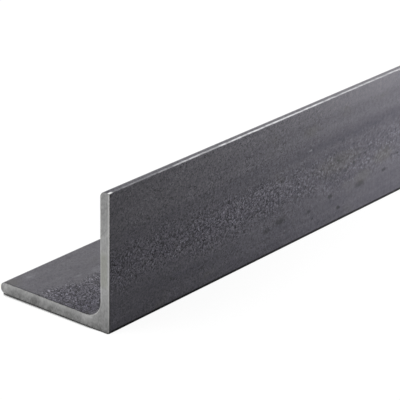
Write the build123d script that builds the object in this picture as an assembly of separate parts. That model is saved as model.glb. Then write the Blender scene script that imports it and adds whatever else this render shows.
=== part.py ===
from build123d import *
import os

# A bar of equal-leg steel angle, hot rolled in one piece and cut square at both ends.
# It lies on the outer face of one leg, the base leg, and the other leg stands upright on it.
# X runs along the bar, Y across the base leg from the heel to the toe, and Z is up.
# The origin is the middle of the underside. All sizes are in millimetres.

length = 914.4  # a stock length of 36 in
leg = 38.1  # each leg, from the heel to the end of its toe: 1 1/2 in
thickness = 3.175  # both legs: 1/8 in
root_radius = 4.76  # the fillet between the legs, 3/16 in
toe_inner_radius = 1.5  # each toe's edge on the inside of the angle, rounded by the rolls
upright_toe_radius = 0.2  # the upright toe's edge on the outside of the angle, almost square
base_toe_radius = 1.4  # the base toe's edge on the outside of the angle, almost as round as the inside
heel_radius = 0.9  # the outside corner, where the two legs' outer faces meet


def toe_radii(outer_radius):
    """A toe's inner and outer radius, made smaller together where the leg is too thin for both."""
    rounded = toe_inner_radius + outer_radius
    room = 0.98 * thickness
    share = min(1, room / rounded)
    return toe_inner_radius * share, outer_radius * share


def angle_section():
    """The rolled section, in the plane across the bar: Y to the base leg's toe, Z up the upright leg."""
    heel = -leg / 2
    toe = leg / 2
    inside = heel + thickness
    base_inner, base_outer = toe_radii(base_toe_radius)
    upright_inner, upright_outer = toe_radii(upright_toe_radius)
    corners = [
        ((heel, 0), heel_radius),
        ((toe, 0), base_outer),
        ((toe, thickness), base_inner),
        ((inside, thickness), root_radius),
        ((inside, leg), upright_inner),
        ((heel, leg), upright_outer),
    ]
    points = [point for point, radius in corners]
    radii = [radius for point, radius in corners]
    outline = FilletPolyline(*points, radius=radii, close=True)
    return Plane.YZ * make_face(outline)


def angle_bar():
    """The section carried along the whole length, half of it each way from the middle."""
    return extrude(angle_section(), length / 2, both=True)


os.makedirs("parts", exist_ok=True)
export_step(angle_bar(), "parts/angle_bar.step")
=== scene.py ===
import math
from functools import partial

import bpy
from mathutils import Matrix, Vector


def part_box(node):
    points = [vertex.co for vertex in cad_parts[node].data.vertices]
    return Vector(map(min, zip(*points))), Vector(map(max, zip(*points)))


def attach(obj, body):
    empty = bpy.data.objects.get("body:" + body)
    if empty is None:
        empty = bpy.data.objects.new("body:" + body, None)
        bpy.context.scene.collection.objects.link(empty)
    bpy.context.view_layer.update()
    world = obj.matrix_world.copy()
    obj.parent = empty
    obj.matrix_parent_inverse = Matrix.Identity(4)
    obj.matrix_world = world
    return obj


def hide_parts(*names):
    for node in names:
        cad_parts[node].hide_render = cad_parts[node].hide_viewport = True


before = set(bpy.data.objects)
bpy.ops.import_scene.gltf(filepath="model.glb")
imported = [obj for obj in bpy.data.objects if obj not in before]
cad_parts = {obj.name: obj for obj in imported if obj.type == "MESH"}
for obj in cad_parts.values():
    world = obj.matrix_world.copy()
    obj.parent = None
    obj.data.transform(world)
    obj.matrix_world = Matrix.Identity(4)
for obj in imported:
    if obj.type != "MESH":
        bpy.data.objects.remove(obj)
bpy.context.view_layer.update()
barLow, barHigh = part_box("angle_bar")
print("frame loaded:", sorted(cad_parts))

mm = 0.001  # sizes below are written in millimetres
barLength = (barHigh.x - barLow.x) / mm
legWidth = (barHigh.z - barLow.z) / mm  # both legs are equal
heelCorner = Vector(barLow)  # outside corner of the angle, at the cut end nearest the camera


def hexToLinear(code):
    # an sRGB colour as "#rrggbb" turned to the linear values that Blender works in
    channels = [int(code[i:i + 2], 16) / 255 for i in (1, 3, 5)]
    linear = [c / 12.92 if c <= 0.04045 else ((c + 0.055) / 1.055) ** 2.4 for c in channels]
    return (*linear, 1.0)


def addNode(tree, kind, inputs=(), **settings):
    # one node with its settings and links; inputs come by name or in a row, and each takes a value, a colour as
    # "#rrggbb", an output socket, or another node, whose first live output is used
    node = tree.nodes.new(kind)
    for name, value in settings.items():
        setattr(node, name, value)
    for key, value in inputs.items() if isinstance(inputs, dict) else enumerate(inputs):
        named = (socket for socket in node.inputs if socket.enabled and socket.name == key)
        socket = node.inputs[key] if isinstance(key, int) else next(named)
        if isinstance(value, bpy.types.Node):
            value = next(output for output in value.outputs if output.enabled)
        if isinstance(value, bpy.types.NodeSocket):
            tree.links.new(value, socket)
        else:
            isColour = isinstance(value, str) and value.startswith("#")
            socket.default_value = hexToLinear(value) if isColour else value
    return node


def span(low, high, start=0.0, end=1.0):
    # a Map Range's limits: between low and high it goes from start to end
    return {"From Min": low, "From Max": high, "To Min": start, "To Max": end}


# The bar: one shell that follows the rolled section, made by Geometry Nodes

barShape = {
    "Wall": 3.175,
    "Root Radius": 4.76,
    "Toe Inner Radius": 1.5,  # both toes' edges on the inside of the angle
    "Upright Toe Radius": 0.2,  # the toes' edges on its outside
    "Base Toe Radius": 1.4,
    "Heel Radius": 0.9,
    "Cut Chamfer": 0.1,  # the burr along the cut, rubbed off
    "Wave Depth": 0.04,  # unevenness left by the rolls
    "Wave Length": 34.0,
    "Burr Depth": 0.08,  # raggedness of the section right at the cut
    "Burr Length": 1.0,
    "Burr Reach": 1.2,
}
barSteps = {
    "Stations": 361,  # rings along the bar
    "Arc Steps": 6,
    "Flat Steps": 36,
    "Wall Steps": 4,
    "Seed": 7,
}
endCrowding = 0.6  # how much closer the rings stand near the ends
rollStretch = (1.0, 3.0, 3.0)  # the unevenness is this much finer across the bar than along it
weldGap = 0.001  # mm between points that are one
sharpTurn = 30.0  # degrees; an edge that turns more stays sharp


def sectionSide(tree, face, starts, radii, leg, arcSteps, flatSteps):
    # one side of the section as a poly curve: the upright's toe, the corner, the base leg's toe
    add = partial(addNode, tree)
    index = add("GeometryNodeInputIndex")
    places = add("GeometryNodeIndexSwitch", {"Index": index}, data_type="VECTOR")
    rounding = add("GeometryNodeIndexSwitch", {"Index": index}, data_type="FLOAT")
    corners = [(starts[0], leg), (face, leg), (face, face), (leg, face), (leg, starts[1])]
    for switch in (places, rounding):
        while len(switch.index_switch_items) < len(corners):
            switch.index_switch_items.new()
    for number, (y, z) in enumerate(corners, 1):
        tree.links.new(add("ShaderNodeCombineXYZ", {"Y": y, "Z": z}).outputs[0], places.inputs[number])
    for number, radius in enumerate(radii, 2):
        tree.links.new(radius, rounding.inputs[number])
    points = add("GeometryNodePoints", {"Count": len(corners), "Position": places})
    line = add("GeometryNodePointsToCurves", {"Points": points})
    rounded = add("GeometryNodeFilletCurve", {
        "Curve": line, "Count": arcSteps, "Radius": rounding}, mode="POLY")
    # the long flats follow the first and the second arc's last point
    arcPoints = add("ShaderNodeMath", (arcSteps, 1.0), operation="ADD")
    nearest = add("ShaderNodeMath", (index, arcPoints), operation="DIVIDE")
    first, second = (
        add("ShaderNodeMath", (nearest, number, 0.001), operation="COMPARE") for number in (1.0, 2.0))
    flats = add("ShaderNodeMath", (first, second), operation="ADD")
    cuts = add("ShaderNodeMath", (flats, flatSteps), operation="MULTIPLY")
    return add("GeometryNodeSubdivideCurve", {"Curve": rounded, "Cuts": cuts})


def barTree():
    tree = bpy.data.node_groups.new("rolledAngle", "GeometryNodeTree")
    add = partial(addNode, tree)
    sockets = {}
    for kind, names in (
        ("Float", ("Length", "Leg", *barShape)),
        ("Int", barSteps),
        ("Vector", ("Heel Corner",)),
        ("Material", ("Scale Finish", "Cut Finish", "Rim Finish")),
    ):
        for name in names:
            sockets[name] = tree.interface.new_socket(name, in_out="INPUT", socket_type="NodeSocket" + kind)
    tree.interface.new_socket("Bar", in_out="OUTPUT", socket_type="NodeSocketGeometry")
    given = add("NodeGroupInput").outputs
    leg, wall, chamfer = given["Leg"], given["Wall"], given["Cut Chamfer"]
    position, normal = add("GeometryNodeInputPosition"), add("GeometryNodeInputNormal")

    # each toe's small flat lies between the two sides' curves, on the shell's end face
    toeRadius = given["Toe Inner Radius"]
    outerRadii = (given["Upright Toe Radius"], given["Heel Radius"], given["Base Toe Radius"])
    innerRadii = (toeRadius, given["Root Radius"], toeRadius)
    flatEnd = add("ShaderNodeMath", (wall, toeRadius), operation="SUBTRACT")
    steps = (leg, given["Arc Steps"], given["Flat Steps"])
    outer = sectionSide(tree, 0.0, outerRadii[::2], outerRadii, *steps)
    inner = sectionSide(tree, wall, (flatEnd, flatEnd), innerRadii, *steps)

    # a box of rings: X counts stations, Y points along the section's side, Z steps through the wall
    arcPoints = add("ShaderNodeMath", (given["Arc Steps"], 3.0, 5.0), operation="MULTIPLY_ADD")
    sidePoints = add("ShaderNodeMath", (given["Flat Steps"], 2.0, arcPoints), operation="MULTIPLY_ADD")
    wallPoints = add("ShaderNodeMath", (given["Wall Steps"], 1.0), operation="ADD")
    box = add("GeometryNodeMeshCube", {
        "Vertices X": given["Stations"], "Vertices Y": sidePoints, "Vertices Z": wallPoints})
    corner = add("ShaderNodeVectorMath", (position, (0.5, 0.5, 0.5)), operation="ADD")
    atPoints = add("GeometryNodeCaptureAttribute", {"Geometry": box})
    atFaces = add("GeometryNodeCaptureAttribute", {"Geometry": atPoints.outputs["Geometry"]}, domain="FACE")
    captured = []
    for capture, name, field in (
        (atPoints, "Place", corner), (atFaces, "Facing", normal), (atFaces, "Middle", corner),
    ):
        capture.capture_items.new("VECTOR", name)
        tree.links.new(field.outputs[0], capture.inputs[name])
        captured.append(add("ShaderNodeSeparateXYZ", {"Vector": capture.outputs[name]}).outputs)
    place, facing, middle = captured

    # along the bar: the first and last rings are one chamfer from the next, and the others crowd to the ends
    gaps = add("ShaderNodeMath", (given["Stations"], 1.0), operation="SUBTRACT")
    oneRing = add("ShaderNodeMath", (1.0, gaps), operation="DIVIDE")
    lastRing = add("ShaderNodeMath", (1.0, oneRing), operation="SUBTRACT")
    even = add("ShaderNodeMapRange", {"Value": place["X"], **span(oneRing, lastRing)})
    turn = add("ShaderNodeMath", (even, 2 * math.pi), operation="MULTIPLY")
    swing = add("ShaderNodeMath", (turn,), operation="SINE")
    crowded = add("ShaderNodeMath", (swing, -endCrowding / (2 * math.pi), even), operation="MULTIPLY_ADD")
    isFirst = add("ShaderNodeMath", (place["X"], 0.0001), operation="LESS_THAN")
    isLast = add("ShaderNodeMath", (place["X"], 0.9999), operation="GREATER_THAN")
    inset = add("ShaderNodeMath", (chamfer, -2.0, given["Length"]), operation="MULTIPLY_ADD")
    between = add("ShaderNodeMath", (crowded, inset, chamfer), operation="MULTIPLY_ADD")
    atEnd = add("ShaderNodeMath", (isLast, isFirst), operation="SUBTRACT")
    along = add("ShaderNodeMath", (atEnd, chamfer, between), operation="MULTIPLY_ADD")

    # across: the same point of both curves, mixed by the step through the wall, and drawn in at each cut
    lastPoint = add("ShaderNodeMath", (sidePoints, 1.0), operation="SUBTRACT")
    pointNumber = add("ShaderNodeMath", (place["Y"], lastPoint), operation="MULTIPLY")
    whole = add("ShaderNodeMath", (pointNumber,), operation="ROUND")
    isEnd = add("ShaderNodeMath", (isFirst, isLast), operation="ADD")
    drawIn = add("ShaderNodeMath", (isEnd, chamfer), operation="MULTIPLY")
    wallShare = add("ShaderNodeMath", (drawIn, wall), operation="DIVIDE")
    fromMiddle = add("ShaderNodeMath", (place["Z"], -2.0, 1.0), operation="MULTIPLY_ADD")
    through = add("ShaderNodeMath", (fromMiddle, wallShare, place["Z"]), operation="MULTIPLY_ADD")
    legShare = add("ShaderNodeMath", (drawIn, leg), operation="DIVIDE")
    shrink = add("ShaderNodeMath", (1.0, legShare), operation="SUBTRACT")
    reach = add("GeometryNodeSplineParameter").outputs["Length"]
    sides, reaches = (
        [add("GeometryNodeSampleIndex", {"Geometry": side, "Value": field, "Index": whole}, data_type=kind)
         for side in (outer, inner)]
        for field, kind in ((position, "FLOAT_VECTOR"), (reach, "FLOAT")))
    section = add("ShaderNodeMix", {"Factor": through, "A": sides[0], "B": sides[1]}, data_type="VECTOR")
    around = add("ShaderNodeMix", {"Factor": place["Z"], "A": reaches[0], "B": reaches[1]})
    drawn = add("ShaderNodeVectorMath", {0: section, "Scale": shrink}, operation="SCALE")
    run = add("ShaderNodeCombineXYZ", {"X": along})
    spot = add("ShaderNodeVectorMath", (drawn, run), operation="ADD")
    unrolled = add("ShaderNodeCombineXYZ", {"X": along, "Y": around, "Z": place["Z"]})
    bent = add("GeometryNodeSetPosition", {"Geometry": atFaces.outputs["Geometry"], "Position": spot})
    joined = add("GeometryNodeMergeByDistance", {"Geometry": bent, "Distance": weldGap})

    # relief, always inwards: long waves from the rolls, and a ragged edge within reach of the cuts
    waveScale = add("ShaderNodeMath", (1.0, given["Wave Length"]), operation="DIVIDE")
    burrScale = add("ShaderNodeMath", (given["Wave Length"], given["Burr Length"]), operation="DIVIDE")
    seedShift = add("ShaderNodeCombineXYZ", {axis: given["Seed"] for axis in "XYZ"})
    stretched = add("ShaderNodeVectorMath", (position, rollStretch), operation="MULTIPLY")
    scaled = add("ShaderNodeVectorMath", {0: stretched, "Scale": waveScale}, operation="SCALE")
    shifted = add("ShaderNodeVectorMath", (scaled, seedShift), operation="ADD")
    wave = add("ShaderNodeTexNoise", {"Vector": shifted, "Scale": 1.0, "Detail": 2.0}).outputs["Fac"]
    waves = add("ShaderNodeMath", (wave, given["Wave Depth"]), operation="MULTIPLY")
    fromEnd = add("ShaderNodeMath", (given["Length"], along), operation="SUBTRACT")
    nearEnd = add("ShaderNodeMath", (along, fromEnd), operation="MINIMUM")
    ragged = add("ShaderNodeMapRange", {
        "Value": nearEnd, **span(0.0, given["Burr Reach"], given["Burr Depth"], 0.0)})
    burr = add("ShaderNodeTexNoise", {"Vector": shifted, "Scale": burrScale, "Detail": 1.0}).outputs["Fac"]
    depth = add("ShaderNodeMath", (burr, ragged, waves), operation="MULTIPLY_ADD")
    inward = add("ShaderNodeMath", (depth, -1.0), operation="MULTIPLY")
    relief = add("ShaderNodeVectorMath", {0: normal, "Scale": inward}, operation="SCALE")
    uneven = add("GeometryNodeSetPosition", {"Geometry": joined, "Offset": relief})

    # millimetres to the frame's metres, from the heel corner of the near cut
    metres = add("ShaderNodeVectorMath", {0: position, "Scale": mm}, operation="SCALE")
    framed = add("ShaderNodeVectorMath", (metres, given["Heel Corner"]), operation="ADD")
    placed = add("GeometryNodeSetPosition", {"Geometry": uneven, "Position": framed})

    # only edges that turn sharply stay sharp
    smooth = add("GeometryNodeSetShadeSmooth", {"Geometry": placed}, domain="FACE")
    bend = add("GeometryNodeInputMeshEdgeAngle").outputs["Unsigned Angle"]
    gentle = add("ShaderNodeMath", (bend, math.radians(sharpTurn)), operation="LESS_THAN")
    shell = add("GeometryNodeSetShadeSmooth", {"Geometry": smooth, "Shade Smooth": gentle}, domain="EDGE")

    # the finishes, and what the bake map needs: each point's place on the unrolled shell, and where each face
    # looks in the box of rings
    across = add("ShaderNodeMath", (facing["X"],), operation="ABSOLUTE")
    isCap = add("ShaderNodeMath", (across, 0.5), operation="GREATER_THAN")
    beforeRing = add("ShaderNodeMath", (middle["X"], oneRing), operation="LESS_THAN")
    afterRing = add("ShaderNodeMath", (middle["X"], lastRing), operation="GREATER_THAN")
    isRim = add("ShaderNodeMath", (beforeRing, afterRing), operation="ADD")
    looks = atFaces.outputs["Facing"]
    for name, value, domain in (("unrolled", unrolled, "POINT"), ("facing", looks, "FACE")):
        shell = add("GeometryNodeStoreNamedAttribute", {
            "Geometry": shell, "Name": name, "Value": value}, data_type="FLOAT_VECTOR", domain=domain)
    shell = add("GeometryNodeRealizeInstances", {"Geometry": shell})
    for name, faces in (("Scale Finish", True), ("Rim Finish", isRim), ("Cut Finish", isCap)):
        shell = add("GeometryNodeSetMaterial", {
            "Geometry": shell, "Selection": faces, "Material": given[name]})
    add("NodeGroupOutput", {"Bar": shell})
    return tree, sockets


# a map to bake the colours through: the sides in two half lengths, and the cuts, larger
bakeMap = {
    "size": 1024,  # pixels, which all the rest is in
    "margin": 5,
    "flap": 5,  # the chamfer, folded out round the cut
    "cutWidth": 44,
    "toeWidth": 4,
}


def layBakeMap(mesh):
    size, margin, flap, cutWidth, toeWidth = bakeMap.values()
    unrolled = [tuple(item.vector) for item in mesh.attributes["unrolled"].data]
    facing = [tuple(item.vector) for item in mesh.attributes["facing"].data]
    outerRun = max(around for along, around, through in unrolled if through < 0.01)
    innerRun = max(around for along, around, through in unrolled if through > 0.99)
    chamfer = barShape["Cut Chamfer"]
    cutRow = cutWidth + 2 * flap + margin
    toeRows = 2 * toeWidth + 4 * margin  # in each half
    room = size - margin - 2 * cutRow - 2 * toeRows
    perMm = room / (2 * (outerRun + innerRun))
    uv = mesh.uv_layers.new(name="OFBake").data
    for face in mesh.polygons:
        lookX, lookY, lookZ = facing[face.index]
        points = [unrolled[v] for v in face.vertices]
        middle = sum(point[0] for point in points) / len(points)
        farHalf = middle > barLength / 2
        isCut = min(middle, barLength - middle) < chamfer
        # rows from the bottom: the two cuts, then for each half the outer side, a toe, the inner side and the
        # other toe
        starts, start = [], margin + 2 * cutRow + farHalf * (room / 2 + toeRows)
        for width in (outerRun * perMm, toeWidth, innerRun * perMm, toeWidth):
            starts.append(start)
            start += width + margin
        for corner, (along, around, through) in zip(face.loop_indices, points):
            if isCut:
                folded = flap * (min(along, barLength - along) > chamfer / 2)
                share = around / (outerRun + (innerRun - outerRun) * through)
                u = margin + flap + share * (size - 2 * margin - 2 * flap) + lookY * folded
                rise = through * cutWidth + lookZ * folded
                v = margin + farHalf * cutRow + flap + (rise if farHalf else cutWidth - rise)
            else:
                u = margin + (along / (barLength / 2) - farHalf) * (size - 2 * margin)
                if lookZ < -0.5:
                    v = starts[0] + (outerRun - around) * perMm
                elif lookZ > 0.5:
                    v = starts[2] + around * perMm
                elif lookY < 0:
                    v = starts[1] + through * toeWidth
                else:
                    v = starts[3] + (1 - through) * toeWidth
            uv[corner].uv = (u / size, v / size)
    for name in ("unrolled", "facing"):
        mesh.attributes.remove(mesh.attributes[name])
    print(f"bake map laid: {perMm:.2f} pixels per mm around the section")


def makeBar(scaleFinish, cutFinish, rimFinish):
    tree, sockets = barTree()
    maker = bpy.data.objects.new("barMaker", bpy.data.meshes.new("barMaker"))
    bpy.context.scene.collection.objects.link(maker)
    modifier = maker.modifiers.new("rolledAngle", "NODES")
    modifier.node_group = tree
    values = {
        "Length": barLength, "Leg": legWidth, **barShape, **barSteps, "Heel Corner": heelCorner,
        "Scale Finish": scaleFinish, "Cut Finish": cutFinish, "Rim Finish": rimFinish}
    for name, value in values.items():
        modifier[sockets[name].identifier] = value
    depsgraph = bpy.context.evaluated_depsgraph_get()
    mesh = bpy.data.meshes.new_from_object(maker.evaluated_get(depsgraph), depsgraph=depsgraph)
    bpy.data.objects.remove(maker)
    if mesh.materials[0] is None:
        mesh.materials.pop(index=0)  # the box's own empty slot
    layBakeMap(mesh)
    bar = bpy.data.objects.new("angleBarSkin", mesh)
    bpy.context.scene.collection.objects.link(bar)
    print("bar made:", len(mesh.vertices), "points,", len(mesh.polygons), "faces")
    return bar


def newMaterial(name):
    material = bpy.data.materials.new(name)
    material.use_nodes = True
    material.node_tree.nodes.clear()
    print("finish:", name)
    return material, partial(addNode, material.node_tree)


def barPlace(add):
    # a point's place in millimetres: x from the near cut, y from the upright's outer face, z from the underside
    point = add("ShaderNodeTexCoord").outputs["Object"]
    place = add("ShaderNodeMapping", {"Vector": point, "Location": -heelCorner / mm, "Scale": (1 / mm,) * 3})
    return place, add("ShaderNodeSeparateXYZ", {"Vector": place}).outputs


def blotches(add, place, size, detail=2.0, stretch=(1.0, 1.0, 1.0), limits=None):
    # a soft random pattern around 0; size is one blotch in millimetres, stretch makes it longer that many
    # times, and limits turn it to a share
    scaled = add("ShaderNodeMapping", {"Vector": place, "Scale": [1 / (size * s) for s in stretch]})
    cloud = add("ShaderNodeTexNoise", {"Vector": scaled, "Scale": 1.0, "Detail": detail}).outputs["Fac"]
    pattern = add("ShaderNodeMath", (cloud, 0.5), operation="SUBTRACT")
    return add("ShaderNodeMapRange", {"Value": pattern, **span(*limits)}) if limits else pattern


markEdge = {
    "raggedness": 1.6,
    "pattern": (0.8, 3.0),
    "full": 0.45,  # share of its reach within which a mark is full
}


def markShare(add, place, spot, reach, strength):
    # how much of a listed mark shows at a point: full at the spot, none beyond its reach, both in mm
    away = add("ShaderNodeVectorMath", (place, spot), operation="SUBTRACT")
    shares = add("ShaderNodeVectorMath", (away, reach), operation="DIVIDE")
    distance = add("ShaderNodeVectorMath", (shares,), operation="LENGTH").outputs["Value"]
    pattern = blotches(add, place, *markEdge["pattern"])
    ragged = add("ShaderNodeMath", (pattern, markEdge["raggedness"], distance), operation="MULTIPLY_ADD")
    return add("ShaderNodeMapRange", {"Value": ragged, **span(markEdge["full"], 1.0, strength, 0.0)})


# Hot-rolled mild steel with its mill scale on: a dark blue-grey oxide skin, dull with a faint sheen. A fine
# grain covers it, and along the middle of each leg, where the rolls pressed it less, it is pebbled like orange
# peel.
millScale = {
    "dark": "#151327",
    "light": "#8d8b90",
    "level": 0.30,  # where the plain skin lies between dark and light
    "stain": "#565549",  # thin rust
    "scuff": "#9a9aa0",
    "darkFlakesAndShade": "#0d0d0e",  # painted shade where the heel lies on the ground; also the darker edge beside the cuts, and spots where scale has flaked off
    "worn": "#dddde0",  # bare steel along the toe's edge, near-white as a painted highlight
    # a nick by the cut, painted near-white as a glint
    "nickGlint": "#f4f4f4",
    "wornMetallic": 0.6,
    "roughness": 0.36,
    "sheenChange": 0.4,  # of it, from patch to patch
    "pebbledRoughness": 0.22,  # more where it is pebbled
    "specular": 0.15,
    "grain": 0.33,  # mm across one grain; the real ones are finer, and this is the smallest that shows
    "grainSpan": (3.0, 0.45),  # doublings of tone from the darkest grain to the middle, crisp and faint
    "grainEvening": 0.4,  # holds the palest grains back
    "bandGrain": (0.6, 1.0),  # share of it in the pebbled bands, outside and inside the angle
    "innerGrain": 0.15,  # share of it on the plain skin inside
    "rollTurn": 240.0,  # mm of bar in one turn of the rolls, which print the grain crisp and then faint
    "warp": 1.125,  # mm across the swirls that bend grains and pebbles out of line
    "pebble": 0.75,  # mm across one pebble
    "pebbleDome": (0.1, 0.75, 0.5, -0.5),  # from its middle outwards
    "pebbleSpan": (0.9, 1.5, 0.3),  # doublings of tone over one: outside, crisp and faint, and inside
    # relief in mm
    "pebbleRise": 0.08,
    "grit": 0.264,  # mm across
    "gritRise": 0.03,
    "flakeRise": -0.04,
    # where the pebbling starts, is full, fades and ends, in legs from the heel, and how far these places wander
    "outerBand": (0.20, 0.40, 0.50, 0.66),
    "innerBand": (0.17, 0.30, 0.61, 0.675),
    "bandDrift": 14.0,
    # soft patterns, as blotches takes them: size in mm, detail, stretch along and across the bar, and limits
    "drift": (7.0, 4.0, (1.6, 1.0, 1.0)),
    "clumps": (3.0, 3.0, (1.0, 1.0, 1.0), (-0.15, 0.12, 0.6, 1.0)),  # of pebbles
    "patches": (5.0, 3.0, (1.5, 1.0, 1.0), (-0.05, 0.15, 0.35, 0.55)),  # of grain on the plain skin
    "rust": (6.0, 5.0, (2.0, 1.0, 1.0), (0.12, 0.25, 0.0, 0.2)),
    "scratches": (1.1, 2.0, (1.7, 1.0, 1.0), (0.22, 0.32, 0.0, 0.5)),
    "dashes": (1.2, 3.0, (1.6, 1.0, 1.0), (-0.12, 0.12, 0.4, 1.2)),  # along the rubbed edge
    "sheen": (2.0, 3.0, (3.0, 1.0, 1.0)),
    # the same with the tone that each adds: streaks from the rolls, clouds and mottling
    "tones": [
        ((1.0, 3.0, (45.0, 1.6, 1.6)), 0.16),
        ((5.0, 3.0, (2.5, 1.0, 1.0)), 0.12),
        ((1.1, 2.0), 0.25),
    ],
    # changes of tone up the outside, with a dark draw line before the toe: where each starts and ends, in legs
    # from the heel, and its tone where the grain is crisp and where it is faint
    "outerSteps": [
        (0.58, 0.46, -0.03, 0.01),
        (0.30, 0.16, -0.06, -0.045),
        # painted shade: the next step darkens the outside towards the heel, where the bar lies on the ground
        (0.12, 0.0, -0.03, -0.01),
        (0.60, 0.66, -0.015, -0.07),
        (0.67, 0.77, 0.072, 0.135),
        (0.82, 0.92, -0.01, 0.03),
        (0.84, 0.97, 0.03, 0.10),
    ],
    # the same inside the angle, with one tone each; the last one is the base leg's toe
    "innerLevel": 0.01,
    "innerSteps": [(0.565, 0.615, 0.11), (0.45, 0.20, -0.11)],
    "baseToeStep": (0.95, 0.975, -0.15),
    # limits of a change: where it starts and ends, then its strength there, which is 0 and 1 if none is given
    "innerSide": (1.2, 2.0),  # mm from the outer faces
    "toeTop": (0.9, 0.2),  # mm below the upright's end
    "toeWall": (0.1, 0.4),  # mm over its wall
    "toeTone": (-0.10, 0.07),  # where the print is crisp and where faint
    "spotGap": 3.4,  # mm from one flaked spot to the next
    "spotSize": (0.5, 1.0, -0.05, 0.20),  # in gaps; half of the cells have none
    "spotEdge": (0.06, -0.03),  # in gaps
    "spotZone": (0.45, 0.33, 0.15, 0.6),  # in legs from the heel
    "spotPrint": (0.7, 1.4),  # where the print is crisp and where faint
    "heelShade": (1.0, 0.65, 0.0, 0.85),  # painted shade along the heel, in mm above the ground
    "cutDarkening": (0.8, 0.2),  # mm from the cut
    "cutDarkeningShare": (0.4, 0.75),  # outside and inside the angle
    "edgeTop": (0.22, 0.12),  # the rubbed edge: mm below the upright's end, and over its wall
    "edgeStart": (0.05, 0.2),
    "edgeEnd": (0.9, 0.7),
    "handled": (18.0, 40.0, 0.22, 1.0),  # mm from the cut
    "spared": (82.0, 92.0, 1.0, 0.6),
    "nickReach": (1.8, 1.1),
    # listed marks: spot, reach and strength
    "flakes": [
        ((0.2, 0.0, 37.5), (0.8, 1.0, 0.45), 0.8),
        ((63.9, 0.0, 7.5), (1.7, 1.0, 0.9), 0.5),
        ((69.6, 0.0, 8.6), (2.8, 1.0, 1.4), 0.6),
        ((82.6, 0.0, 7.2), (1.3, 1.0, 0.7), 0.5),
        ((92.7, 0.0, 8.8), (1.4, 1.0, 0.8), 0.6),
        ((96.7, 0.0, 4.2), (1.2, 1.0, 0.7), 0.7),
        ((106.8, 0.0, 8.3), (3.2, 1.0, 1.3), 0.5),
        ((118.7, 0.0, 9.2), (1.4, 1.0, 0.8), 0.55),
    ],
    "stains": [
        ((96.0, 0.0, 18.0), (13.0, 1.0, 3.6), 0.20),
        ((108.0, 0.0, 10.5), (5.0, 1.0, 2.6), 0.18),
        ((118.0, 0.0, 14.0), (6.0, 1.0, 3.2), 0.24),
        ((83.0, 0.0, 31.0), (4.5, 1.0, 2.0), 0.20),
        ((1.5, 35.5, 3.2), (2.8, 3.2, 1.0), 0.30),
    ],
    "scuffs": [
        ((7.0, 34.2, 3.2), (1.1, 0.8, 1.0), 0.35),
        ((7.4, 34.4, 3.2), (3.0, 2.0, 1.0), 0.12),
        ((16.0, 25.2, 3.2), (1.8, 0.6, 1.0), 0.25),
        ((23.0, 24.4, 3.2), (4.5, 1.6, 1.0), 0.18),
        ((82.9, 0.0, 25.4), (0.9, 1.0, 0.35), 0.45),
    ],
}


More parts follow.
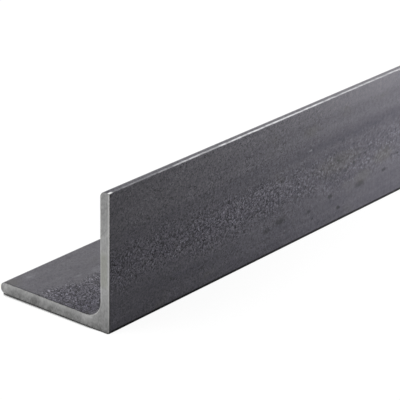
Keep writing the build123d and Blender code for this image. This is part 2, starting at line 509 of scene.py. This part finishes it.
def hotRolledMillScale():
    material, add = newMaterial("hotRolledMillScale")
    look = millScale
    place, axes = barPlace(add)
    cloud = partial(blotches, add, place)
    fromHeel = add("ShaderNodeMath", (axes["Y"], axes["Z"]), operation="MAXIMUM")
    intoWall = add("ShaderNodeMath", (axes["Y"], axes["Z"]), operation="MINIMUM")
    isInner = add("ShaderNodeMapRange", {"Value": intoWall, **span(*look["innerSide"])})

    # where it is pebbled: a band along each side of each leg, with wandering edges
    drift = cloud(*look["drift"])
    bandPlace = add("ShaderNodeMath", (drift, look["bandDrift"], fromHeel), operation="MULTIPLY_ADD")
    bands = []
    for key in ("outerBand", "innerBand"):
        starts, full, fades, ends = (share * legWidth for share in look[key])
        rise, fall = (
            add("ShaderNodeMapRange", {"Value": bandPlace, **span(*limits)}, interpolation_type="SMOOTHSTEP")
            for limits in ((starts, full), (ends, fades)))
        bands.append(add("ShaderNodeMath", (rise, fall), operation="MULTIPLY"))
    pebbled = add("ShaderNodeMix", {"Factor": isInner, "A": bands[0], "B": bands[1]})
    clumped = cloud(*look["clumps"])
    pebbleShare = add("ShaderNodeMath", (pebbled, clumped), operation="MULTIPLY")
    turn = add("ShaderNodeMath", (axes["X"], 2 * math.pi / look["rollTurn"]), operation="MULTIPLY")
    swing = add("ShaderNodeMath", (turn,), operation="COSINE")
    faint = add("ShaderNodeMapRange", {"Value": swing, **span(1.0, -1.0)})
    bandShare, cutDarkeningSide = (
        add("ShaderNodeMapRange", {"Value": isInner, **span(0.0, 1.0, *look[key])})
        for key in ("bandGrain", "cutDarkeningShare"))
    toeTone, spotShare = (
        add("ShaderNodeMapRange", {"Value": faint, **span(0.0, 1.0, *look[key])})
        for key in ("toeTone", "spotPrint"))
    nearTop, onTop = (
        add("ShaderNodeMapRange", {"Value": axes["Z"], **span(*(legWidth - low for low in look[key]))})
        for key in ("toeTop", "edgeTop"))
    overWall, edgeStarts, edgeEnds = (
        add("ShaderNodeMapRange", {"Value": axes["Y"], **span(*look[key])})
        for key in ("toeWall", "edgeStart", "edgeEnd"))

    # each grain has its own tone, more so where it is pebbled and in some patches
    warp = cloud(look["warp"])
    bend = add("ShaderNodeCombineXYZ", {axis: warp for axis in "XYZ"})
    warped = add("ShaderNodeVectorMath", (place, bend), operation="ADD")
    grainCells = add("ShaderNodeTexVoronoi", {"Vector": warped, "Scale": 1 / look["grain"]}).outputs["Color"]
    grainParts = add("ShaderNodeSeparateXYZ", {"Vector": grainCells}).outputs
    grainSum = add("ShaderNodeMath", (grainParts["X"], grainParts["Y"]), operation="ADD")
    grain = add("ShaderNodeMath", (grainSum, 1.0), operation="SUBTRACT")
    evened = add("ShaderNodeMath", (grain, -look["grainEvening"], 1.0), operation="MULTIPLY_ADD")
    patches = cloud(*look["patches"])
    plainShare = add("ShaderNodeMix", {"Factor": isInner, "A": patches, "B": look["innerGrain"]})
    grainShare = add("ShaderNodeMath", (pebbleShare, bandShare, plainShare), operation="MULTIPLY_ADD")
    fading = add("ShaderNodeMath", (faint, faint), operation="MULTIPLY")
    printed = add("ShaderNodeMapRange", {"Value": fading, **span(0.0, 1.0, *look["grainSpan"])})
    graining = grain
    for share in (evened, grainShare, printed):
        graining = add("ShaderNodeMath", (graining, share), operation="MULTIPLY")
    pebbles = add("ShaderNodeTexVoronoi", {
        "Vector": warped, "Scale": 1 / look["pebble"]}, feature="SMOOTH_F1").outputs["Distance"]
    pebble = add("ShaderNodeMapRange", {"Value": pebbles, **span(*look["pebbleDome"])})
    pebbling = add("ShaderNodeMath", (pebble, pebbleShare), operation="MULTIPLY")

    # tone between the dark and the light scale: paler towards the toe, outside with a dark draw line before it
    outerTone = 0.0
    for near, far, crisp, worn in look["outerSteps"]:
        gain = add("ShaderNodeMapRange", {"Value": faint, **span(0.0, 1.0, crisp, worn)})
        step = add("ShaderNodeMapRange", {
            "Value": fromHeel, **span(near * legWidth, far * legWidth)}, interpolation_type="SMOOTHSTEP")
        outerTone = add("ShaderNodeMath", (step, gain, outerTone), operation="MULTIPLY_ADD")
    innerTone = look["innerLevel"]
    for near, far, gain in look["innerSteps"]:
        step = add("ShaderNodeMapRange", {
            "Value": bandPlace, **span(near * legWidth, far * legWidth, 0.0, gain)},
            interpolation_type="SMOOTHSTEP")
        innerTone = add("ShaderNodeMath", (step, innerTone), operation="ADD")
    near, far, gain = look["baseToeStep"]
    toeEdge = add("ShaderNodeMapRange", {
        "Value": axes["Y"], **span(near * legWidth, far * legWidth, 0.0, gain)})
    innerTone = add("ShaderNodeMath", (toeEdge, innerTone), operation="ADD")
    sideTone = add("ShaderNodeMix", {"Factor": isInner, "A": outerTone, "B": innerTone})
    onToe = add("ShaderNodeMath", (nearTop, overWall), operation="MULTIPLY")
    sideTone = add("ShaderNodeMath", (onToe, toeTone, sideTone), operation="MULTIPLY_ADD")
    tone = add("ShaderNodeMath", (sideTone, look["level"]), operation="ADD")
    for pattern, strength in look["tones"]:
        tone = add("ShaderNodeMath", (cloud(*pattern), strength, tone), operation="MULTIPLY_ADD")
    skin = add("ShaderNodeMix", {0: tone, "A": look["dark"], "B": look["light"]}, data_type="RGBA")
    crispSpan, faintSpan, innerSpan = look["pebbleSpan"]
    pebbleSpan = add("ShaderNodeMapRange", {"Value": faint, **span(0.0, 1.0, crispSpan, faintSpan)})
    pebbleSpan = add("ShaderNodeMix", {"Factor": isInner, "A": pebbleSpan, "B": innerSpan})
    doublings = add("ShaderNodeMath", (pebbling, pebbleSpan, graining), operation="MULTIPLY_ADD")
    contrast = add("ShaderNodeMath", (2.0, doublings), operation="POWER")
    skin = add("ShaderNodeVectorMath", {0: skin, "Scale": contrast}, operation="SCALE")

    # spots where scale has flaked off, most of them towards the heel
    spotCells = add("ShaderNodeTexVoronoi", {"Vector": warped, "Scale": 1 / look["spotGap"]}).outputs
    spotPick = add("ShaderNodeSeparateXYZ", {"Vector": spotCells["Color"]}).outputs["X"]
    spotSize = add("ShaderNodeMapRange", {"Value": spotPick, **span(*look["spotSize"])})
    spotEdge = add("ShaderNodeMath", (spotCells["Distance"], spotSize), operation="SUBTRACT")
    spots = add("ShaderNodeMapRange", {"Value": spotEdge, **span(*look["spotEdge"])})
    high, low, few, most = look["spotZone"]
    lowZone = add("ShaderNodeMapRange", {
        "Value": fromHeel, **span(high * legWidth, low * legWidth, few, most)})
    for share in (lowZone, spotShare):
        spots = add("ShaderNodeMath", (spots, share), operation="MULTIPLY")

    # those spots, thin stains and pale scuffs, each with its listed marks
    shares = {
        "flakes": spots,
        "stains": cloud(*look["rust"]),
        "scuffs": cloud(*look["scratches"]),
    }
    for kind, colour in (("flakes", "darkFlakesAndShade"), ("stains", "stain"), ("scuffs", "scuff")):
        for spot, reach, strength in look[kind]:
            mark = markShare(add, place, spot, reach, strength)
            shares[kind] = add("ShaderNodeMath", (shares[kind], mark), operation="MAXIMUM")
        skin = add("ShaderNodeMix", {0: shares[kind], "A": skin, "B": look[colour]}, data_type="RGBA")

    # painted shade along the heel, where it lies on the ground, and darker scale right beside the cuts
    lowest = add("ShaderNodeMapRange", {"Value": axes["Z"], **span(*look["heelShade"])})
    halfLength = barLength / 2
    offMiddle = add("ShaderNodeMath", (axes["X"], halfLength), operation="SUBTRACT")
    fromMiddle = add("ShaderNodeMath", (offMiddle,), operation="ABSOLUTE")
    fromCut = add("ShaderNodeMath", (halfLength, fromMiddle), operation="SUBTRACT")
    cutEdge = add("ShaderNodeMapRange", {"Value": fromCut, **span(*look["cutDarkening"])})
    cutEdge = add("ShaderNodeMath", (cutEdge, cutDarkeningSide), operation="MULTIPLY")
    heelShadeAndCutDark = add("ShaderNodeMath", (lowest, cutEdge), operation="MAXIMUM")
    skin = add("ShaderNodeMix", {0: heelShadeAndCutDark, "A": skin, "B": look["darkFlakesAndShade"]}, data_type="RGBA")

    # the upright toe is rubbed bright along its outer edge, less so towards the cut, with a bright nick there:
    # bare steel painted near-white as a highlight along the edge, and as a glint on the nick
    edgeSide = add("ShaderNodeMath", (edgeStarts, edgeEnds), operation="MULTIPLY")
    onEdge = add("ShaderNodeMath", (onTop, edgeSide), operation="MULTIPLY")
    dashes = cloud(*look["dashes"])
    rubbedAndHighlight, spared, nickGlint = (
        add("ShaderNodeMapRange", {"Value": fromCut, **span(*look[key])})
        for key in ("handled", "spared", "nickReach"))
    for operation, share in (
        ("MULTIPLY", spared), ("MULTIPLY", dashes), ("MAXIMUM", nickGlint), ("MULTIPLY", onEdge),
    ):
        rubbedAndHighlight = add("ShaderNodeMath", (rubbedAndHighlight, share), operation=operation)
    bareAndHighlight = add("ShaderNodeMix", {0: nickGlint, "A": look["worn"], "B": look["nickGlint"]}, data_type="RGBA")
    skin = add("ShaderNodeMix", {0: rubbedAndHighlight, "A": skin, "B": bareAndHighlight}, data_type="RGBA")
    metal = add("ShaderNodeMath", (rubbedAndHighlight, look["wornMetallic"]), operation="MULTIPLY")

    sheen = add("ShaderNodeMath", (
        cloud(*look["sheen"]), look["sheenChange"], look["roughness"]), operation="MULTIPLY_ADD")
    rougher = add("ShaderNodeMath", (pebbled, look["pebbledRoughness"], sheen), operation="MULTIPLY_ADD")

    # relief in millimetres
    height = add("ShaderNodeMath", (pebbling, look["pebbleRise"]), operation="MULTIPLY")
    for pattern, rise in (
        (cloud(look["grit"]), look["gritRise"]),
        (shares["flakes"], look["flakeRise"]),
    ):
        height = add("ShaderNodeMath", (pattern, rise, height), operation="MULTIPLY_ADD")
    bump = add("ShaderNodeBump", {"Distance": mm, "Height": height})
    shader = add("ShaderNodeBsdfPrincipled", {
        "Base Color": skin, "Metallic": metal, "Roughness": rougher, "Specular IOR Level": look["specular"],
        "Normal": bump})
    add("ShaderNodeOutputMaterial", {"Surface": shader})
    return material


# The cut: bare mild steel, sheared and dulled in store. It is a neutral grey, mottled, brighter where the blade
# burnished it along the upright's outer edge and the top of the base leg, and torn dark towards the underside.
cutSteel = {
    "dark": "#5e5e5e",
    "light": "#cfcfcf",
    "film": "#96988a",  # a faint olive film
    "filmRise": (12.4, 21.6),  # mm up the upright
    "filmEdges": (0.5, 1.0),  # mm over which it fades at its lower and its upper end
    "filmDrift": 2.0,  # mm that these ends wander
    "filmWaves": (3.0, 3.0),  # size in mm, and detail
    "filmSide": (0.6, 1.1, 0.0, 0.4),  # mm from the outer edge
    "roughness": 0.5,
    "metallic": 0.25,
    "tears": (2.2, 3.0, (1.0, 1.0, 4.0)),  # size in mm, detail and stretch
    "slant": -35,  # degrees that they lean
    # relief in mm
    "tearRise": 0.12,
    "grit": 0.3,  # mm across
    "gritRise": 0.03,
    # tone up the upright and up the base leg, in mm from the underside, and how torn it is, in mm from the heel
    "uprightLow": (0.0, 9.0, 0.15, 0.49),
    "uprightHigh": (22.0, 30.0, 0.0, -0.12),
    "baseLow": (0.0, 1.5, 0.25, 0.26),
    "baseTop": (1.4, 2.6, 0.0, 0.24),
    "baseStarts": (3.0, 8.0),
    "tearShare": (5.0, 24.0, 0.35, 0.8),
    "tones": [((1.4, 3.0), 0.35), ((0.4, 2.0, (1.0, 1.0, 2.0)), 0.5)],  # patterns and the tone each adds
    # the upright's edges: where they lie, in mm from its outer face, and their tone, in mm from the underside
    "outerEdge": (0.68, 0.38),
    "outerBurnish": (2.0, 12.0, 0.22, 0.36),
    "dullEdge": (0.4, 0.15),
    "dullTone": (30.0, 11.0, 0.0, -0.6),
    "innerEdge": (2.65, 2.9),
    "innerBurnish": (25.0, 22.0, 0.1, 0.42),
    "uprightOnly": (6.0, 11.0),  # mm from the underside
    "bladeStep": (29.3, 1.1, -0.14),  # mm up at the outer edge, slope towards the inside, and tone
    "bladeStepWidth": (0.1, 0.4),
    # lighter and darker patches: spot, reach and tone
    "patches": [
        ((0.0, 1.6, 24.0), (1.0, 1.8, 4.0), 0.06),
        ((0.0, 0.2, 0.2), (1.0, 0.5, 0.5), -0.12),
        ((0.0, 0.9, 27.6), (1.0, 1.2, 1.6), 0.05),
        ((0.0, 7.8, 2.0), (1.0, 2.4, 1.8), 0.15),
        ((0.0, 4.2, 0.9), (1.0, 2.0, 1.2), -0.05),
        ((0.0, 25.8, 1.4), (1.0, 2.2, 1.6), -0.06),
        ((0.0, 29.2, 1.8), (1.0, 1.6, 1.6), 0.05),
        ((0.0, 36.8, 1.6), (1.0, 1.7, 2.0), 0.20),
    ],
}


def shearedMildSteel():
    material, add = newMaterial("shearedMildSteel")
    look = cutSteel
    place, axes = barPlace(add)
    leaning = add("ShaderNodeMapping", {"Vector": place, "Rotation": (math.radians(look["slant"]), 0.0, 0.0)})
    tears = blotches(add, leaning, *look["tears"])

    # what changes up the cut, and what changes across it
    up, across = (
        {key: add("ShaderNodeMapRange", {"Value": axes[axis], **span(*look[key])}) for key in keys}
        for axis, keys in (
            ("Z", ("uprightLow", "uprightHigh", "baseLow", "baseTop", "outerBurnish", "dullTone",
                   "innerBurnish", "uprightOnly")),
            ("Y", ("baseStarts", "tearShare", "outerEdge", "dullEdge", "filmSide"))))

    # the upright is plain, darker towards the heel; the base leg darkens from its top to the underside
    uprightTone = add("ShaderNodeMath", (up["uprightLow"], up["uprightHigh"]), operation="ADD")
    baseTone = add("ShaderNodeMath", (up["baseLow"], up["baseTop"]), operation="ADD")
    tone = add("ShaderNodeMix", {"Factor": across["baseStarts"], "A": uprightTone, "B": baseTone})
    torn = add("ShaderNodeMath", (tears, across["tearShare"]), operation="MULTIPLY")
    tone = add("ShaderNodeMath", (torn, tone), operation="ADD")
    for pattern, strength in look["tones"]:
        tone = add("ShaderNodeMath", (
            blotches(add, place, *pattern), strength, tone), operation="MULTIPLY_ADD")
    for spot, reach, gain in look["patches"]:
        patch = markShare(add, place, spot, reach, gain)
        tone = add("ShaderNodeMath", (patch, tone), operation="ADD")

    # burnished along both edges of the upright, the outer one less so towards the heel, and a step that the
    # blade left, leaning across the upright
    innerEdge = add("ShaderNodeMapRange", {
        "Value": axes["Y"], **span(*look["innerEdge"], 0.0, up["innerBurnish"])})
    start, slope, depth = look["bladeStep"]
    stepRise = add("ShaderNodeMath", (axes["Y"], slope, -start), operation="MULTIPLY_ADD")
    aboveStep = add("ShaderNodeMath", (axes["Z"], stepRise), operation="ADD")
    fromStep = add("ShaderNodeMath", (aboveStep,), operation="ABSOLUTE")
    stepLine = add("ShaderNodeMapRange", {"Value": fromStep, **span(*look["bladeStepWidth"], depth, 0.0)})
    for share, gain in (
        (across["outerEdge"], up["outerBurnish"]),
        (across["dullEdge"], up["dullTone"]),
        (innerEdge, up["uprightOnly"]),
        (stepLine, up["uprightOnly"]),
    ):
        tone = add("ShaderNodeMath", (share, gain, tone), operation="MULTIPLY_ADD")
    steel = add("ShaderNodeMix", {0: tone, "A": look["dark"], "B": look["light"]}, data_type="RGBA")

    # the film on part of the upright
    low, high = look["filmRise"]
    lowFade, highFade = look["filmEdges"]
    filmHeight = add("ShaderNodeMath", (
        blotches(add, place, *look["filmWaves"]), look["filmDrift"], axes["Z"]), operation="MULTIPLY_ADD")
    above = add("ShaderNodeMapRange", {"Value": filmHeight, **span(low - lowFade, low + lowFade)})
    below = add("ShaderNodeMapRange", {"Value": filmHeight, **span(high + highFade, high - highFade)})
    film = add("ShaderNodeMath", (above, below), operation="MULTIPLY")
    film = add("ShaderNodeMath", (film, across["filmSide"]), operation="MULTIPLY")
    steel = add("ShaderNodeMix", {0: film, "A": steel, "B": look["film"]}, data_type="RGBA")

    height = add("ShaderNodeMath", (torn, look["tearRise"]), operation="MULTIPLY")
    height = add("ShaderNodeMath", (
        blotches(add, place, look["grit"]), look["gritRise"], height), operation="MULTIPLY_ADD")
    bump = add("ShaderNodeBump", {"Distance": mm, "Height": height})
    shader = add("ShaderNodeBsdfPrincipled", {
        "Base Color": steel, "Metallic": look["metallic"], "Roughness": look["roughness"], "Normal": bump})
    add("ShaderNodeOutputMaterial", {"Surface": shader})
    return material


# The cut's rim, where the burr was rubbed off: bright bare steel on the inside of the upright, with a painted
# highlight along the root fillet, and dark with scale on the toe and along the base leg, with painted shade
# underneath.
cutRim = {
    "dark": "#7c7c7a",
    "light": "#c4c4c2",
    "paintedHighlight": "#f2f2f0",  # a painted highlight along the root fillet
    "scaleAndShade": "#1a1a1b",
    "roughness": 0.45,
    "metallic": 0.4,
    "nicks": (0.7, 2.0, (1.0, 1.0, 1.0), (-0.2, 0.1)),
    "rootHighlight": (3.3, 3.6, 0.0, 0.3),  # mm from both outer faces
    # where scale is left, or shade is painted underneath, and its share there
    "shadedUnderside": (0.3, 0.05),  # painted shade: mm above the ground
    "heelPart": (0.3, 1.0, 1.0, 0.3),  # of the underside, in mm from the heel
    "toePart": (24.0, 28.0),
    "uprightToe": (0.5, 0.2, 0.7),  # mm below the upright's end, and share
    "baseLeg": (6.5, 8.0, 0.0, 0.6),  # mm from the heel
    "outerSide": (0.6, 0.3),
    "outerRise": (30.0, 11.0, 0.15, 1.0),  # mm above the ground
}


def rubbedBurr():
    material, add = newMaterial("rubbedBurr")
    look = cutRim
    place, axes = barPlace(add)
    rim = add("ShaderNodeMix", {
        0: blotches(add, place, *look["nicks"]), "A": look["dark"], "B": look["light"]}, data_type="RGBA")
    # a painted highlight along the root fillet
    intoRoot = add("ShaderNodeMath", (axes["Y"], axes["Z"]), operation="MINIMUM")
    rootHighlight = add("ShaderNodeMapRange", {"Value": intoRoot, **span(*look["rootHighlight"])})
    rim = add("ShaderNodeMix", {0: rootHighlight, "A": rim, "B": look["paintedHighlight"]}, data_type="RGBA")

    # where it is dark: painted shade along the underside, strongest at the heel and towards the toe, scale on
    # the upright's toe and the base leg, and darker on the outer side towards the ground
    shadedUnderside, outerRise, scaled, toePart, baseLeg, outerSide = (
        add("ShaderNodeMapRange", {"Value": axes[axis], **span(*look[key])}) for axis, key in (
            ("Z", "shadedUnderside"), ("Z", "outerRise"), ("Y", "heelPart"), ("Y", "toePart"), ("Y", "baseLeg"),
            ("Y", "outerSide")))
    low, high, share = look["uprightToe"]
    uprightToe = add("ShaderNodeMapRange", {
        "Value": axes["Z"], **span(legWidth - low, legWidth - high, 0.0, share)})
    outerPart = add("ShaderNodeMath", (outerRise, outerSide), operation="MULTIPLY")
    for operation, share in (
        ("MAXIMUM", toePart), ("MULTIPLY", shadedUnderside), ("MAXIMUM", uprightToe), ("MAXIMUM", baseLeg),
        ("MAXIMUM", outerPart),
    ):
        scaled = add("ShaderNodeMath", (scaled, share), operation=operation)
    rim = add("ShaderNodeMix", {0: scaled, "A": rim, "B": look["scaleAndShade"]}, data_type="RGBA")
    shader = add("ShaderNodeBsdfPrincipled", {
        "Base Color": rim, "Metallic": look["metallic"], "Roughness": look["roughness"]})
    add("ShaderNodeOutputMaterial", {"Surface": shader})
    return material


bar = makeBar(hotRolledMillScale(), shearedMildSteel(), rubbedBurr())
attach(bar, "root")
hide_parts("angle_bar")


# Camera, from the photograph's own lines

cameraView = {
    "azimuth": -50.82,
    "elevation": 22.57,
    "roll": 0.89,
    "distance": 548.9,  # mm from the heel corner of the near cut, along the view
    "aimRight": 22.69,  # mm that the view's centre lies right of that corner
    "aimUp": 33.78,
    "lens": 196.8,  # mm
    "sensor": 36.0,
    "clip": (10.0, 20000.0),
}


def makeCamera():
    azimuth, elevation, roll = (math.radians(cameraView[key]) for key in ("azimuth", "elevation", "roll"))
    flat = math.cos(elevation)
    back = Vector((math.sin(azimuth) * flat, -math.cos(azimuth) * flat, math.sin(elevation)))
    level = Vector((math.cos(azimuth), math.sin(azimuth), 0.0))
    raised = back.cross(level)
    right = level * math.cos(roll) + raised * math.sin(roll)
    up = raised * math.cos(roll) - level * math.sin(roll)
    spot = back * cameraView["distance"] + right * cameraView["aimRight"] + up * cameraView["aimUp"]
    data = bpy.data.cameras.new("photoCamera")
    data.lens = cameraView["lens"]
    data.sensor_width = cameraView["sensor"]
    data.clip_start, data.clip_end = (far * mm for far in cameraView["clip"])
    camera = bpy.data.objects.new("photoCamera", data)
    turned = Matrix((right, up, back)).transposed().to_4x4()
    camera.matrix_world = Matrix.Translation(heelCorner + spot * mm) @ turned
    bpy.context.scene.collection.objects.link(camera)
    bpy.context.scene.camera = camera
    print("camera placed")


# Floor, world and lamps

floorFinish = {
    "half": 6000.0,  # mm from its middle to its sides
    "drop": 0.1,  # mm below the bar
    "colour": "#bcbcba",
    "shadowShare": 0.12,  # how much of the lamps' light and shadow shows on the white
    "fill": 0.92,
    "contact": 0.36,  # mm that the painted contact shadow under the bar reaches
    "mirrored": 2.5,  # the same where the bar's own gloss shows it
    "cutContact": (0.8, 2.1, 2.7),  # the same before the near cut: at the heel, past the root and at the toe
    "cutPlaces": (3.0, 7.0, 36.0),  # mm from the heel to those three
    "cutSide": (0.2, -0.1),  # mm along the bar to where the front of the cut begins
    "toeSide": (0.9, 1.8),  # mm from the toe's end
    "openness": (0.58, 0.70),  # share of open sky between which the painted contact shadow fades
}
worldLevel = (0.2, 1.0)  # the light on the bar, and the white behind it


def backgroundRays(add):
    # 1 for the rays that show the background: straight to the camera, or by way of gloss or glass
    path = add("ShaderNodeLightPath").outputs
    either = add("ShaderNodeMath", (path["Is Camera Ray"], path["Is Glossy Ray"]), operation="MAXIMUM")
    return add("ShaderNodeMath", (either, path["Is Transmission Ray"]), operation="MAXIMUM")


def paleFloor():
    material, add = newMaterial("paleFloor")
    look = floorFinish
    plain = add("ShaderNodeBsdfDiffuse", {"Color": look["colour"]})
    shade = add("ShaderNodeBsdfDiffuse", {"Color": (look["shadowShare"],) * 3 + (1.0,)})
    place, axes = barPlace(add)
    atHeel, atRoot, atToe = (reach * mm for reach in look["cutContact"])
    heel, root, toe = look["cutPlaces"]
    rootReach = add("ShaderNodeMapRange", {"Value": axes["Y"], **span(heel, root, atHeel, atRoot)})
    toeReach = add("ShaderNodeMapRange", {"Value": axes["Y"], **span(root, toe, 0.0, atToe - atRoot)})
    cutReach = add("ShaderNodeMath", (rootReach, toeReach), operation="ADD")
    beforeCut = add("ShaderNodeMapRange", {"Value": axes["X"], **span(*look["cutSide"])})
    insideToe = add("ShaderNodeMapRange", {
        "Value": axes["Y"], **span(*(legWidth - short for short in look["toeSide"]))})
    inFront = add("ShaderNodeMath", (beforeCut, insideToe), operation="MULTIPLY")
    reach = add("ShaderNodeMix", {"Factor": inFront, "A": look["contact"] * mm, "B": cutReach})
    isGloss = add("ShaderNodeLightPath").outputs["Is Glossy Ray"]
    reach = add("ShaderNodeMix", {"Factor": isGloss, "A": reach, "B": look["mirrored"] * mm})
    # painted contact shadow: the white glow dims by ambient occlusion near the bar, wider before the near cut
    # and where the bar's gloss shows the floor
    openness = add("ShaderNodeAmbientOcclusion", {"Distance": reach}).outputs["AO"]
    fill = add("ShaderNodeMapRange", {"Value": openness, **span(*look["openness"], 0.0, look["fill"])})
    glow = add("ShaderNodeEmission", {"Color": "#ffffff", "Strength": fill})
    seen = add("ShaderNodeAddShader", (shade, glow))
    mixed = add("ShaderNodeMixShader", (backgroundRays(add), plain, seen))
    add("ShaderNodeOutputMaterial", {"Surface": mixed})
    return material


def makeFloor():
    half = floorFinish["half"] * mm
    corners = [(-half, -half, 0), (half, -half, 0), (half, half, 0), (-half, half, 0)]
    mesh = bpy.data.meshes.new("floor")
    mesh.from_pydata(corners, [], [(0, 1, 2, 3)])
    mesh.materials.append(paleFloor())
    floor = bpy.data.objects.new("floor", mesh)
    floor.location.z = -floorFinish["drop"] * mm
    bpy.context.scene.collection.objects.link(floor)


def makeWorld():
    world = bpy.data.worlds.new("studio")
    world.use_nodes = True
    world.node_tree.nodes.clear()
    add = partial(addNode, world.node_tree)
    level = add("ShaderNodeMapRange", {"Value": backgroundRays(add), **span(0.0, 1.0, *worldLevel)})
    background = add("ShaderNodeBackground", {"Color": "#ffffff", "Strength": level})
    add("ShaderNodeOutputWorld", {"Surface": background})
    bpy.context.scene.world = world


# places in mm from the near cut's heel corner; the size is the softbox's two sides
lamps = {
    "topSoftbox": {
        "place": (-400, 260, 650), "aim": (0, 20, 0), "size": (500, 500), "watts": 5.0, "spread": 180},
    "frontStrip": {
        "place": (620, -420, 160), "aim": (620, 0, 20), "size": (1000, 200), "watts": 1.5, "spread": 40},
    "edgeSoftbox": {
        "place": (376, -134, 243), "aim": (126, 0, 38), "size": (120, 120), "watts": 0.4, "spread": 180},
}


def makeLamps():
    for name, lamp in lamps.items():
        data = bpy.data.lights.new(name, "AREA")
        data.shape = "RECTANGLE"
        data.size, data.size_y = (side * mm for side in lamp["size"])
        data.energy = lamp["watts"]
        data.spread = math.radians(lamp["spread"])
        place, aim = Vector(lamp["place"]) * mm, Vector(lamp["aim"]) * mm
        light = bpy.data.objects.new(name, data)
        light.location = heelCorner + place
        light.rotation_mode = "QUATERNION"
        light.rotation_quaternion = (aim - place).to_track_quat("-Z", "Y")
        light.visible_camera = False
        bpy.context.scene.collection.objects.link(light)
    print("lamps placed:", ", ".join(lamps))


makeCamera()
makeFloor()
makeWorld()
makeLamps()
bpy.context.scene.view_settings.view_transform = "Standard"
